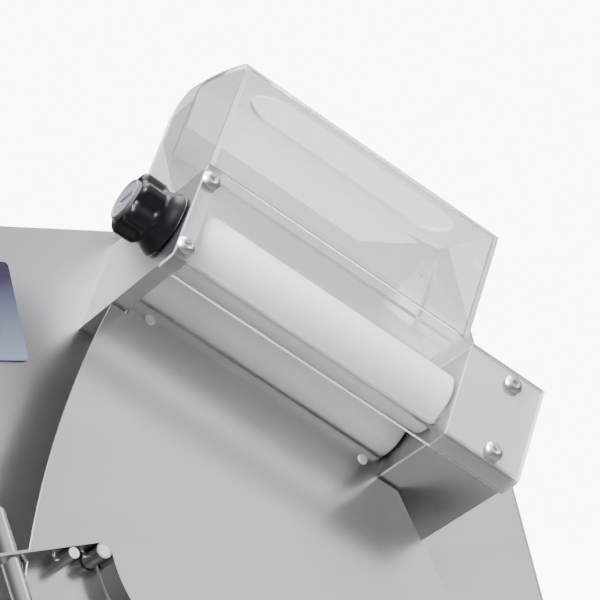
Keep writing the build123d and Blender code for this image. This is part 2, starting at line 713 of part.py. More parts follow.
def motor():
    """A finned motor body with its fan cowl."""
    body = rod_x(MOTOR - 6, (-72, 58), 0, 0)
    for i in range(9):
        x = -40 + 10.5 * i
        body += rod_x(MOTOR, (x, x + 3), 0, 0)
    body += rod_x(MOTOR, (-96, -58), 0, 0)
    return drive_at(body)


def motor_bracket():
    """An angle plate from the back of the front panel to the gearbox."""
    y = upper_pulley_at()[1]
    web = block((106, 109), (y - 48, y + 48), (DRIVE_DEPTH - 44, -SHEET))
    web -= rod_x(DRIVE_SHAFT + 8, (105, 110), y, DRIVE_DEPTH)
    return web + block((76, 106), (y - 48, y + 48), (-SHEET - 3, -SHEET))


# ---------------------------------------------------------------- controls
def control_plate():
    left, right, low, high = LABEL
    plate = block((left, right), (low, high), (0, 1.2))
    plate = fillet(plate.edges().filter_by(Axis.Z), 3)
    for x in BUTTON_X:
        plate -= rod_z(BUTTON + 5, x, BUTTON_Y, (0, 2))
    return plate


def button_rims():
    """Fixed round rims in which the buttons travel."""
    rims = []
    for x in BUTTON_X:
        rim = rod_z(BUTTON + 5, x, BUTTON_Y, (0, 4)) + rod_z(BUTTON - 2, x, BUTTON_Y, (-14, 0))
        rim -= rod_z(BUTTON - 4 + 2 * CLEAR, x, BUTTON_Y, (-12, 4))
        rims.append(rim - rod_z(BUTTON, x, BUTTON_Y, (0.8, 4)))
    return rims


def push_button(x, rise):
    """A cap on its plunger, raised above the rim by rise."""
    cap = rod_z(BUTTON - 0.6, x, BUTTON_Y, (0.8 + BUTTON_PRESS + 0.3, 4 + rise))
    edge = cap.edges().filter_by(GeomType.CIRCLE).sort_by(Axis.Z)[-1]
    return fillet(edge, 1.0) + rod_z(BUTTON - 4, x, BUTTON_Y, (-8, 4.5))


# ---------------------------------------------------------------- the machine
def build():
    upper = Head("upper", on_panel(UPPER_AT, UPPER_TURN), UPPER_FREE, UPPER_HEIGHT,
                 UPPER_AXIS, UPPER_ROLLER, UPPER_TEETH)
    lower = Head("lower", on_panel(LOWER_AT, 0), LOWER_FREE, LOWER_HEIGHT,
                 LOWER_AXIS, LOWER_ROLLER, LOWER_TEETH, LOWER_COVER_RISE)
    half = WIDTH / 2

    save("front_panel", PANEL, front_panel())
    save("left_side_panel", WORLD, side_panel((-half, SHEET - half)))
    save("right_side_panel", WORLD, side_panel((half - SHEET, half)))
    for name, piece in zip(("top_cover", "rear_cover", "base_plate"), flat_covers()):
        save(name, WORLD, piece)
    save("feet", WORLD, *foot_pads())
    save("cable_gland", WORLD, cable_gland())

    toothed_x = TOOTHED_X - LOWER_AT[0]
    upper.build(PULLEY_U + 9)
    lower.build(toothed_x + 9)
    save("roller_bushes", PANEL, *[PANEL.location.inverse() * head.frame.location * bush
                                   for head in (upper, lower) for bush in head.bushes()])
    save("socket_screws", PANEL, *all_screws((upper, lower)))
    save("hopper", upper.frame, hopper() - hopper_screw_holes())
    save("infeed_chute", upper.frame, chute())

    save("slide_sheet", PANEL, slide_sheet())
    save("slide_spacers", PANEL, *spacers())
    save("slide_rivets", PANEL, *rivets())
    pin_z = (SLIDE_FACE - 7, SLIDE_FACE + 1 + TRAY_DEPTH)
    save("tray_pins", PANEL, rod_z(PIVOT_PIN, *PIVOT, pin_z), rod_z(STOP_PIN, *STOP_AT, pin_z))
    save("balance_tray", PANEL, balance_tray())
    save("balance_weight", PANEL, balance_weight())

    wheel = Pos(0, upper.axis, upper.rear) * (grooved_wheel(PULLEY_U) - rod_x(SHAFT, (190, 230), 0, 0))
    save("upper_belt_pulley", upper.frame, wheel)
    wheel = toothed_wheel(toothed_x) - rod_x(SHAFT, (toothed_x - 10, toothed_x + 10), 0, 0)
    save("lower_belt_pulley", lower.frame, Pos(0, lower.axis, lower.rear) * wheel)
    x = upper_pulley_at()[0]
    bore = rod_x(DRIVE_SHAFT, (100, 200), 0, 0)
    save("drive_belt_pulley", PANEL, drive_at(grooved_wheel(x) - bore))
    save("drive_toothed_pulley", PANEL, drive_at(toothed_wheel(TOOTHED_X) - bore))
    save("drive_shaft", PANEL, drive_shaft())
    save("round_belt", PANEL, round_belt(upper))
    save("toothed_belt", PANEL, toothed_belt(lower))
    save("gearbox", PANEL, gearbox())
    save("motor", PANEL, motor())
    save("motor_bracket", PANEL, motor_bracket())

    save("control_plate", PANEL, control_plate())
    save("button_rims", PANEL, *button_rims())
    save("start_button", PANEL, push_button(BUTTON_X[0], 2.5))
    save("stop_button", PANEL, push_button(BUTTON_X[1], 5.0))


build()
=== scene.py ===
"""Looks of a two-pass dough sheeter.

Shapes are worked out in millimetres in flat frames that lie on the leaning front
panel, then placed in the machine's own frame in metres.  In such a frame x runs
along the panel, y up it and z straight out of it; a roller head's frame has its
x along the rollers and its y zero at the top edge of the head's clear guard.
"""

import json
from math import atan2, cos, pi, radians, sin, sqrt

import bmesh
import bpy
import numpy as np
from mathutils import Matrix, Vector
from mathutils.geometry import tessellate_polygon


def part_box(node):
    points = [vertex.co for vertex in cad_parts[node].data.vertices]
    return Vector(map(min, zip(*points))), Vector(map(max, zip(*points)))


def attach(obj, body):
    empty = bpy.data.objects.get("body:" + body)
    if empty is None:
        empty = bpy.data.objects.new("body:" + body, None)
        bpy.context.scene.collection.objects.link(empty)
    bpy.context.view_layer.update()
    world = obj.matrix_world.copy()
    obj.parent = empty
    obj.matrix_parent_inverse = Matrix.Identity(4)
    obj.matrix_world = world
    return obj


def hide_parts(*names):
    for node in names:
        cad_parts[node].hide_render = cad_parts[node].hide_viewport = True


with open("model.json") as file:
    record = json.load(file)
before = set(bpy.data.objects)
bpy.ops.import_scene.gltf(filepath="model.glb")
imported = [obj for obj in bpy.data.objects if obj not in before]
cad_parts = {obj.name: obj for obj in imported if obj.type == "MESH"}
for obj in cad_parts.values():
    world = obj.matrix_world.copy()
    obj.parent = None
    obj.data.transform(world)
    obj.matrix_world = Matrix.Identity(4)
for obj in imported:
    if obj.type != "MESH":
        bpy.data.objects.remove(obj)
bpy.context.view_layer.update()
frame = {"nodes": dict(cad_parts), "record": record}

# ------------------------------------------------------------ sizes, in millimetres
MM = 0.001
LEAN = radians(22.34)
PANEL_TOP = 560.0
FACE = 98.8                     # the guards' outer face above the panel
SHEET = 2.95                    # clear sheet, a hair off the metal behind it
TOP_DEPTH, GLAND_REACH = 183.0, 20.0
FOOT_HEIGHT = 25.0

UPPER = dict(at=(-30.0, -7.8), turn=radians(33.87), free=171.0, height=62.3, axis=-32.0,
             roller=35.0, front=74.7, rear=37.3)
LOWER = dict(at=(-175.0, -330.0), turn=0.0, free=311.0, height=77.0, axis=-38.0,
             roller=40.0, front=72.2, rear=29.8)
LEFT_PLATE, RIGHT_BLOCK = 9.0, 50.0

low_corner = LOWER["height"] + SHEET - LOWER["at"][1]
EDGE_Y = (low_corner * sin(LEAN) + FACE * cos(LEAN) - TOP_DEPTH - GLAND_REACH) / 2


# ------------------------------------------------------------ frames
def panel_frame(at=(0.0, 0.0), turn=0.0):
    """Axes as columns and origin of a frame on the panel at (x, y), turned down by turn."""
    across = np.array([1.0, 0.0, 0.0])
    up = np.array([0.0, sin(LEAN), cos(LEAN)])
    out = np.array([0.0, -cos(LEAN), sin(LEAN)])
    origin = np.array([0.0, EDGE_Y, PANEL_TOP]) + at[0] * across + at[1] * up
    along = cos(turn) * across - sin(turn) * up
    climb = sin(turn) * across + cos(turn) * up
    return np.column_stack([along, climb, out]), origin


WORLD = (np.eye(3), np.zeros(3))
PANEL = panel_frame()
HEADS = {"upper": (UPPER, panel_frame(UPPER["at"], UPPER["turn"])),
         "lower": (LOWER, panel_frame(LOWER["at"], LOWER["turn"]))}


def within(where, origin, axes):
    """A frame given inside another: its origin and its three axes as rows."""
    turn, start = where
    return turn @ np.array(axes, float).T, start + turn @ np.array(origin, float)


# ------------------------------------------------------------ mesh making
def grid_faces(rows, columns, close=False, start=0):
    """Quads between neighbouring rows and columns of points; close joins the last column to the first."""
    r = np.arange(rows - 1)[:, None]
    c = np.arange(columns if close else columns - 1)[None, :]
    n = (c + 1) % columns
    quads = np.stack([r * columns + c, r * columns + n, (r + 1) * columns + n, (r + 1) * columns + c], -1)
    return (quads.reshape(-1, 4) + start).tolist()


def grid(points, close=False):
    """A surface part from an array of (row, column, xyz)."""
    return points.reshape(-1, 3), grid_faces(points.shape[0], points.shape[1], close)


def joined(parts):
    """Several (points, faces) parts as one."""
    points, faces, start = [], [], 0
    for p, f in parts:
        points.append(np.asarray(p, float))
        faces += [[i + start for i in face] for face in f]
        start += len(p)
    return np.concatenate(points), faces


def build(name, part, where, body, materials, replaces=(), flat=40, edged=0):
    """One finished piece: its part is welded, faced outwards, placed in metres and given its finish.

    flat is the angle in degrees past which an edge stays sharp, and the first edged faces take the
    second material.
    """
    turn, origin = where
    points, faces = part
    placed = (points @ turn.T + origin) * MM
    mesh = bpy.data.meshes.new(name)
    mesh.from_pydata(placed.tolist(), [], faces)
    mesh.polygons.foreach_set("material_index", (np.arange(len(faces)) < edged).astype(np.int32))
    shape = bmesh.new()
    shape.from_mesh(mesh)
    bmesh.ops.remove_doubles(shape, verts=shape.verts, dist=2e-6)
    bmesh.ops.recalc_face_normals(shape, faces=shape.faces)
    shape.to_mesh(mesh)
    shape.free()
    return dress(bpy.data.objects.new(name, mesh), body, materials, replaces, flat)


def dress(thing, body, materials, replaces, flat):
    """Link a piece, smooth it, and say what it rides on, stands for and is finished in."""
    bpy.context.scene.collection.objects.link(thing)
    for material in materials if isinstance(materials, (list, tuple)) else [materials]:
        thing.data.materials.append(material)
    shade(thing.data, flat)
    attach(thing, body)
    if replaces:
        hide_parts(*replaces)
    return thing


def shade(mesh, sharp):
    """Smooth the faces of curved surfaces; flat faces, and edges past sharp degrees, stay crisp."""
    shape = bmesh.new()
    shape.from_mesh(mesh)
    for edge in shape.edges:
        edge.smooth = edge.calc_face_angle(0.0) < radians(sharp)
    for face in shape.faces:
        face.smooth = any(radians(0.3) < edge.calc_face_angle(0.0) < radians(sharp) for edge in face.edges)
    shape.to_mesh(mesh)
    shape.free()


def ease(thing, width):
    """Break the sharp edges of a piece by a small two-step bevel."""
    bevel = thing.modifiers.new("broken_edge", "BEVEL")
    bevel.width, bevel.segments = width * MM, 2
    bevel.limit_method, bevel.angle_limit = "ANGLE", radians(40)


def softened(node, edge, body, materials):
    """A sheet or block from the machine's own solids, welded, its flats made single faces and its
    edges broken by a small two-step bevel."""
    mesh = frame["nodes"][node].data.copy()
    mesh.materials.clear()
    shape = bmesh.new()
    shape.from_mesh(mesh)
    bmesh.ops.remove_doubles(shape, verts=shape.verts, dist=1e-6)
    bmesh.ops.dissolve_limit(shape, angle_limit=radians(0.5), verts=shape.verts, edges=shape.edges)
    shape.to_mesh(mesh)
    shape.free()
    thing = bpy.data.objects.new(node + "_finished", mesh)
    dress(thing, body, materials, (node,), 30)
    ease(thing, edge)
    return thing


def turned(profile, steps=96, wobble=None):
    """Surface of revolution about z: profile rows are (radius, z); wobble(angle, radius, z) may
    return a changed (radius, z) for lobes, slots and sockets."""
    profile = np.asarray(profile, float)
    angle = np.linspace(0, 2 * pi, steps, endpoint=False)[None, :]
    radius = np.repeat(profile[:, :1], steps, 1)
    z = np.repeat(profile[:, 1:2], steps, 1)
    if wobble:
        radius, z = wobble(angle + 0 * radius, radius, z)
    return grid(np.stack([radius * np.cos(angle), radius * np.sin(angle), z], -1), close=True)


def arc(centre, radius, start, end, steps):
    """Points along a circle from start to end, in degrees."""
    angle = np.radians(np.linspace(start, end, steps))
    return np.column_stack([centre[0] + radius * np.cos(angle), centre[1] + radius * np.sin(angle)])


def smooth(x, low, high):
    """0 below low, 1 above high, and a smooth S between."""
    t = np.clip((x - low) / (high - low), 0, 1)
    return t * t * (3 - 2 * t)


# ------------------------------------------------------------ shader groups
def group(name, ins, outs):
    """An empty shader group with typed sockets: {name: (kind, default)} in, {name: kind} out."""
    tree = bpy.data.node_groups.new(name, "ShaderNodeTree")
    for label, (kind, value) in ins.items():
        socket = tree.interface.new_socket(label, in_out="INPUT", socket_type="NodeSocket" + kind)
        socket.default_value = value
    for label, kind in outs.items():
        tree.interface.new_socket(label, in_out="OUTPUT", socket_type="NodeSocket" + kind)
    return tree, tree.nodes.new("NodeGroupInput").outputs, tree.nodes.new("NodeGroupOutput").inputs


def node(tree, kind, links=(), **values):
    """Add a node; values set its properties or inputs, links join outputs to its inputs."""
    made = tree.nodes.new("ShaderNode" + kind)
    for key, value in values.items():
        if hasattr(made, key):
            setattr(made, key, value)
        else:
            made.inputs[key.replace("_", " ")].default_value = value
    for key, output in dict(links).items():
        tree.links.new(output, made.inputs[key])
    return made


def grain_group():
    """Brushed grain: noise on coordinates squeezed along the brushing, as a height around 0.5."""
    tree, into, out = group("Brushed grain", {"Squeeze": ("Vector", (1, 1, 1)), "Fineness": ("Float", 900.0)},
                            {"Height": "Float", "Streak": "Float"})
    place = node(tree, "TexCoord").outputs["Object"]
    squeezed = node(tree, "VectorMath", {0: place, 1: into["Squeeze"]}, operation="MULTIPLY").outputs[0]
    fine = node(tree, "TexNoise", {"Vector": squeezed, "Scale": into["Fineness"]}, Detail=2.0)
    third = node(tree, "Math", {0: into["Fineness"]}, operation="MULTIPLY")
    third.inputs[1].default_value = 0.22
    broad = node(tree, "TexNoise", {"Vector": squeezed, "Scale": third.outputs[0]}, Detail=3.0)
    tree.links.new(fine.outputs["Fac"], out["Height"])
    tree.links.new(broad.outputs["Fac"], out["Streak"])
    return tree


def wear_group():
    """Handling marks: soft cloudy patches, with finer specks inside them."""
    tree, into, out = group("Handling marks", {"Size": ("Float", 14.0)}, {"Cloud": "Float", "Speck": "Float"})
    place = node(tree, "TexCoord").outputs["Object"]
    cloud = node(tree, "TexNoise", {"Vector": place, "Scale": into["Size"]}, Detail=4.0, Roughness=0.55)
    spread = node(tree, "MapRange", {"Value": cloud.outputs["Fac"]})
    spread.inputs["From Min"].default_value, spread.inputs["From Max"].default_value = 0.35, 0.68
    many = node(tree, "Math", {0: into["Size"]}, operation="MULTIPLY")
    many.inputs[1].default_value = 22.0
    speck = node(tree, "TexNoise", {"Vector": place, "Scale": many.outputs[0]}, Detail=5.0, Roughness=0.7)
    tree.links.new(spread.outputs["Result"], out["Cloud"])
    tree.links.new(speck.outputs["Fac"], out["Speck"])
    return tree


GRAIN, WEAR = grain_group(), wear_group()


def finish(name, **values):
    """A material with its Principled shader; values set the shader's own sockets."""
    material = bpy.data.materials.new(name)
    material.use_nodes = True
    tree = material.node_tree
    shader = tree.nodes["Principled BSDF"]
    for key, value in values.items():
        shader.inputs[key.replace("_", " ")].default_value = value
    return material, tree, shader


def placed_group(tree, kind, **values):
    made = tree.nodes.new("ShaderNodeGroup")
    made.node_tree = kind
    for key, value in values.items():
        made.inputs[key].default_value = value
    return made.outputs


def ranged(tree, value, low, high):
    """The value 0..1 spread over low..high."""
    spread = node(tree, "MapRange", {"Value": value})
    spread.inputs["To Min"].default_value, spread.inputs["To Max"].default_value = low, high
    return spread.outputs["Result"]


def mixed(tree, factor, first, second):
    """A colour between first and second."""
    blend = tree.nodes.new("ShaderNodeMix")
    blend.data_type = "RGBA"
    tree.links.new(factor, blend.inputs["Factor"])
    blend.inputs["A"].default_value, blend.inputs["B"].default_value = (*first, 1), (*second, 1)
    return blend.outputs["Result"]


def bumped(tree, shader, height, distance, strength=1.0):
    bump = node(tree, "Bump", {"Height": height})
    bump.inputs["Distance"].default_value, bump.inputs["Strength"].default_value = distance, strength
    tree.links.new(bump.outputs["Normal"], shader.inputs["Normal"])


def steel(name, bright, dull, rough, squeeze, fineness=900.0, depth=2.5e-6, spread=0.10):
    """Stainless sheet: brushed grain in its gloss and relief, cloudy handling marks in its colour."""
    material, tree, shader = finish(name, Metallic=1.0)
    grain = placed_group(tree, GRAIN, Squeeze=squeeze, Fineness=fineness)
    wear = placed_group(tree, WEAR, Size=9.0)
    tree.links.new(mixed(tree, wear["Cloud"], bright, dull), shader.inputs["Base Color"])
    both = node(tree, "Math", {0: grain["Streak"], 1: wear["Cloud"]}, operation="ADD").outputs[0]
    halved = node(tree, "Math", {0: both}, operation="MULTIPLY")
    halved.inputs[1].default_value = 0.5
    tree.links.new(ranged(tree, halved.outputs[0], rough - spread / 2, rough + spread / 2),
                   shader.inputs["Roughness"])
    bumped(tree, shader, grain["Height"], depth)
    return material


def plastic(name, colour, darker, rough, depth=4e-6, **values):
    """Moulded or turned plastic: faint cloud in its colour and a fine pebbled relief."""
    material, tree, shader = finish(name, **values)
    wear = placed_group(tree, WEAR, Size=20.0)
    tree.links.new(mixed(tree, wear["Cloud"], colour, darker), shader.inputs["Base Color"])
    tree.links.new(ranged(tree, wear["Speck"], rough - 0.05, rough + 0.07), shader.inputs["Roughness"])
    bumped(tree, shader, wear["Speck"], depth)
    return material


def open_to_light(tree, shader, share, haze):
    """Let the given share of the lamps' light through, as clear plastic does, under a thin haze."""
    through = node(tree, "BsdfTransparent", Color=(share, share, share, 1))
    milk = node(tree, "BsdfDiffuse", Color=(0.75, 0.76, 0.77, 1))
    veiled = node(tree, "MixShader", {1: shader.outputs[0], 2: milk.outputs[0]})
    veiled.inputs[0].default_value = haze
    choice = node(tree, "MixShader", {0: node(tree, "LightPath").outputs["Is Shadow Ray"],
                                      1: veiled.outputs[0], 2: through.outputs[0]})
    tree.links.new(choice.outputs[0], tree.nodes["Material Output"].inputs["Surface"])


def clear(name, tint, rough):
    """Clear plastic sheet with faint wiping marks in its gloss."""
    material, tree, shader = finish(name, Transmission_Weight=1.0, IOR=1.49)
    open_to_light(tree, shader, share=0.9, haze=0.06)
    wear = placed_group(tree, WEAR, Size=12.0)
    tree.links.new(mixed(tree, wear["Cloud"], tint, [c * 0.985 for c in tint]), shader.inputs["Base Color"])
    tree.links.new(ranged(tree, wear["Cloud"], rough, rough + 0.02), shader.inputs["Roughness"])
    return material


ALONG_X, ALONG_Z, EVEN = (0.04, 1.0, 1.0), (1.0, 1.0, 0.04), (1.0, 1.0, 1.0)
look = {
    "cabinet_steel": steel("cabinet steel", (0.57, 0.57, 0.585), (0.52, 0.52, 0.54), 0.30, ALONG_X,
                           depth=1e-6),
    "slide_steel": steel("slide steel", (0.56, 0.558, 0.555), (0.52, 0.518, 0.515), 0.22, ALONG_X,
                         depth=1.5e-6),
    "chute_steel": steel("chute steel", (0.66, 0.66, 0.67), (0.61, 0.61, 0.63), 0.42, ALONG_X,
                         depth=1e-6),
    "head_steel": steel("head steel", (0.88, 0.87, 0.90), (0.83, 0.82, 0.86), 0.30, ALONG_Z),
    # a darker steel for the right plates: painted shade on their inner faces beside the roller ends
    "shaded_plate_steel": steel("plate steel darkened as painted shade", (0.36, 0.355, 0.38), (0.32, 0.315, 0.34), 0.34, ALONG_Z),
    "bright_steel": steel("bright steel", (0.80, 0.80, 0.81), (0.74, 0.74, 0.75), 0.14, ALONG_X,
                          1400.0, 1e-6),
    "zinc": steel("bright zinc", (0.90, 0.90, 0.91), (0.80, 0.80, 0.82), 0.30, EVEN, 500.0, 2e-6),
    "rivet": steel("pale rivet", (0.90, 0.90, 0.90), (0.84, 0.84, 0.84), 0.55, EVEN, 500.0, 2e-6),
    "pulley_aluminium": steel("turned aluminium", (0.80, 0.80, 0.81), (0.74, 0.74, 0.75), 0.28, ALONG_X),
    "gearbox_aluminium": steel("cast aluminium", (0.62, 0.62, 0.63), (0.52, 0.52, 0.54), 0.48, EVEN,
                               420.0, 3e-5),
    "bronze": steel("bearing bronze", (0.72, 0.50, 0.24), (0.62, 0.42, 0.20), 0.30, EVEN, 700.0),
    "clear_sheet": clear("clear sheet", (0.90, 0.905, 0.915), 0.015),
    "clear_edge": plastic("sawn clear edge", (0.90, 0.915, 0.925), (0.86, 0.88, 0.89), 0.45,
                          Transmission_Weight=0.45, IOR=1.49),
    "roller_white": plastic("white roller", (0.90, 0.90, 0.905), (0.87, 0.87, 0.875), 0.34,
                            Subsurface_Weight=0.12, Subsurface_Scale=0.004),
    "bearing_white": plastic("white bearing", (0.80, 0.80, 0.78), (0.74, 0.74, 0.72), 0.42),
    "gear_plastic": plastic("natural gear plastic", (0.76, 0.73, 0.64), (0.70, 0.66, 0.57), 0.40),
    "black_plastic": plastic("black satin plastic", (0.005, 0.005, 0.008), (0.009, 0.009, 0.012), 0.30,
                             Specular_IOR_Level=0.28),
    "cap_grey": plastic("grey cap", (0.24, 0.25, 0.27), (0.20, 0.21, 0.23), 0.34),
    "rubber_black": plastic("black rubber", (0.022, 0.022, 0.022), (0.04, 0.04, 0.04), 0.62, 2e-5),
    "belt_black": plastic("black belt", (0.02, 0.02, 0.02), (0.035, 0.035, 0.035), 0.55, 2e-5),
    "belt_green": plastic("green belt", (0.05, 0.22, 0.11), (0.04, 0.17, 0.085), 0.42, 1e-5),
    "gland_grey": plastic("dark gland", (0.05, 0.05, 0.055), (0.065, 0.065, 0.07), 0.45),
    "motor_paint": plastic("motor paint", (0.10, 0.12, 0.15), (0.085, 0.10, 0.125), 0.42, 2e-5),
    "start_green": plastic("start button green", (0.02, 0.32, 0.10), (0.018, 0.28, 0.085), 0.22,
                           Coat_Weight=0.4, Coat_Roughness=0.1),
    "stop_red": plastic("stop button red", (0.52, 0.012, 0.012), (0.45, 0.01, 0.01), 0.22,
                        Coat_Weight=0.4, Coat_Roughness=0.1),
}


def label_finish():
    """Printed film: dark blue above, fading to grey blue below, with a fine matt grain."""
    material, tree, shader = finish("control label", Specular_IOR_Level=0.2)
    place = node(tree, "SeparateXYZ", {0: node(tree, "TexCoord").outputs["Object"]})
    height = node(tree, "MapRange", {"Value": place.outputs["Z"]})
    low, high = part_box("control_plate")
    height.inputs["From Min"].default_value, height.inputs["From Max"].default_value = low.z, high.z
    fade = tree.nodes.new("ShaderNodeValToRGB")
    tree.links.new(height.outputs["Result"], fade.inputs["Fac"])
    fade.color_ramp.elements[0].color = (0.20, 0.22, 0.31, 1)
    fade.color_ramp.elements[1].color = (0.028, 0.024, 0.05, 1)
    fade.color_ramp.elements[0].position, fade.color_ramp.elements[1].position = 0.05, 0.85
    tree.links.new(fade.outputs["Color"], shader.inputs["Base Color"])
    wear = placed_group(tree, WEAR, Size=30.0)
    tree.links.new(ranged(tree, wear["Speck"], 0.26, 0.40), shader.inputs["Roughness"])
    bumped(tree, shader, wear["Speck"], 6e-6)
    return material


look["label_blue"] = label_finish()

# ------------------------------------------------------------ carried-over nodes
slots = {part["node"]: part["material_slot"] for part in frame["record"]["subparts"]}
body_of = {name: body for body, names in frame["record"]["behaviour"]["bodies"].items() for name in names}
for name, thing in frame["nodes"].items():
    thing.data.materials.clear()
    thing.data.materials.append(look[slots[name]])

# sheets and blocks: how far each one's edges are broken
BROKEN = {"front_panel": 0.3, "left_side_panel": 0.35, "right_side_panel": 0.35, "top_cover": 0.35,
          "rear_cover": 0.35, "base_plate": 0.4, "slide_sheet": 0.35, "balance_tray": 0.25,
          "infeed_chute": 0.3, "control_plate": 0.3, "motor_bracket": 0.3}
for head in HEADS:
    BROKEN |= {f"{head}_left_plate": 0.5, f"{head}_right_plate": 0.5, f"{head}_gear_cover": 0.6,
               f"{head}_front_blocks": 0.5}
# pieces whose finish differs from the usual one of their slot; the right plates take a dark steel that is
# painted shade on their inner faces
OTHER = {"infeed_chute": "chute_steel", "upper_right_plate": "shaded_plate_steel",
         "lower_right_plate": "shaded_plate_steel"}
softer = {name: softened(name, edge, body_of[name], look[OTHER.get(name, slots[name])])
          for name, edge in BROKEN.items()}


def draw_in(thing, corner, moved):
    """Move the panel's points at one corner (x, y) of a hole to another place on the panel."""
    turn, origin = PANEL
    points = np.empty(len(thing.data.vertices) * 3)
    thing.data.vertices.foreach_get("co", points)
    flat = (points.reshape(-1, 3) / MM - origin) @ turn
    near = np.linalg.norm(flat[:, :2] - corner, axis=1) < 1.0
    flat[near, :2] = moved
    thing.data.vertices.foreach_set("co", ((flat @ turn.T + origin) * MM).ravel())
    thing.data.update()


# the belt hole's lower right corner ends under the upper gear cover
HOLE_CORNER, UNDER_COVER = (144.7, -179.2), (133.0, -158.0)
draw_in(softer["front_panel"], HOLE_CORNER, UNDER_COVER)


# ------------------------------------------------------------ hopper
HOPPER_WIDTH, HOPPER_LOW, HOPPER_FRONT = 175.6, 0.6, 76.3
CREST, REAR_TOP, REAR_EDGE = (94.0, 61.8), (105.3, 24.8), 8.8
BACK_WALL, BACK_LOW = 33.8, 47.0
SLOT_MIDDLE, SLOT_HALF = (92.0, 62.8), (69.0, 21.0)


def circle_through(a, b, c):
    """Centre and radius of the circle through three (y, z) points."""
    (ay, az), (by, bz), (cy, cz) = a, b, c
    d = 2 * (ay * (bz - cz) + by * (cz - az) + cy * (az - bz))
    a2, b2, c2 = ay ** 2 + az ** 2, by ** 2 + bz ** 2, cy ** 2 + cz ** 2
    y = (a2 * (bz - cz) + b2 * (cz - az) + c2 * (az - bz)) / d
    z = (a2 * (cy - by) + b2 * (ay - cy) + c2 * (by - ay)) / d
    return (y, z), sqrt((ay - y) ** 2 + (az - z) ** 2)


ROOF_CENTRE, ROOF_RADIUS = circle_through((HOPPER_FRONT, FACE), CREST, REAR_TOP)


def roof_height(z):
    """The roof's outer height above each distance z from the panel."""
    return ROOF_CENTRE[0] + np.sqrt(ROOF_RADIUS ** 2 - (z - ROOF_CENTRE[1]) ** 2)


def bend(wall_z, side, outer, wall, steps=9):
    """Points (y, z) of an arc tangent to an upright wall and to the roof, from the wall up.

    wall_z is the wall's outer face and outer the bend's outer radius; side is -1 where the roof
    lies nearer the panel than the wall and +1 where it lies further out.  wall is 0 for the outer
    skin and the sheet's thickness for the inner one.
    """
    z = wall_z + side * outer
    y = ROOF_CENTRE[0] + sqrt((ROOF_RADIUS - outer) ** 2 - (z - ROOF_CENTRE[1]) ** 2)
    end = atan2(z - ROOF_CENTRE[1], y - ROOF_CENTRE[0])
    angle = np.linspace(-side * pi / 2, end, steps)
    radius = outer - wall
    return np.column_stack([y + radius * np.cos(angle), z + radius * np.sin(angle)])


def even(line, count):
    """A line of points spaced evenly along its own length."""
    step = np.linalg.norm(np.diff(line, axis=0), axis=1)
    line = line[np.concatenate([[True], step > 1e-9])]
    way = np.concatenate([[0], np.cumsum(np.linalg.norm(np.diff(line, axis=0), axis=1))])
    at = np.linspace(0, way[-1], count)
    return np.column_stack([np.interp(at, way, line[:, k]) for k in range(line.shape[1])])


def slot_loop(long, short):
    """Plan points (x, z) round the oblong feed slot, evenly spaced between its 45 degree points."""
    (half, r), (cx, cz) = SLOT_HALF, SLOT_MIDDLE
    flat = half - r
    side = np.concatenate([arc((flat, 0), r, 45, 90, 40), arc((-flat, 0), r, 90, 135, 40)])
    side, end = even(side, long)[:-1], even(arc((-flat, 0), r, 135, 225, 60), short)[:-1]
    return np.concatenate([side, end, -side, -end]) + [cx, cz]


def edge_loop(xs, zs):
    """Plan points (x, z) round the roof's four edges, to match the slot's: xs falls, zs falls."""
    return np.concatenate([
        np.column_stack([xs, 0 * xs + zs[0]])[:-1], np.column_stack([0 * zs + xs[-1], zs])[:-1],
        np.column_stack([xs[::-1], 0 * xs + zs[-1]])[:-1], np.column_stack([0 * zs + xs[0], zs[::-1]])[:-1]])


def roof(xs, zs, wall, rings=12):
    """The roof round its slot: plan points run straight from the slot out to the edges, and each is
    lifted onto the roof's arc.  Returns the surface and the slot's own loop."""
    share = np.linspace(0, 1, rings)[:, None, None] ** 1.2
    plan = slot_loop(len(xs), len(zs)) * (1 - share) + edge_loop(xs, zs) * share
    height = ROOF_CENTRE[0] + np.sqrt((ROOF_RADIUS - wall) ** 2 - (plan[..., 1] - ROOF_CENTRE[1]) ** 2)
    rows = np.stack([plan[..., 0], height, plan[..., 1]], -1)
    return grid(rows, close=True), rows[0]


def swept(line, xs):
    """A (y, z) line carried along x."""
    columns = (len(line), len(xs))
    return grid(np.stack([np.broadcast_to(xs, columns), np.broadcast_to(line[:, :1], columns),
                          np.broadcast_to(line[:, 1:], columns)], -1))


def cap(loop, x):
    """A flat cut through the solid at x, its outline given as (y, z)."""
    points = np.column_stack([np.full(len(loop), x), loop])
    return points, [list(t) for t in tessellate_polygon([points[:, 1:].tolist()])]


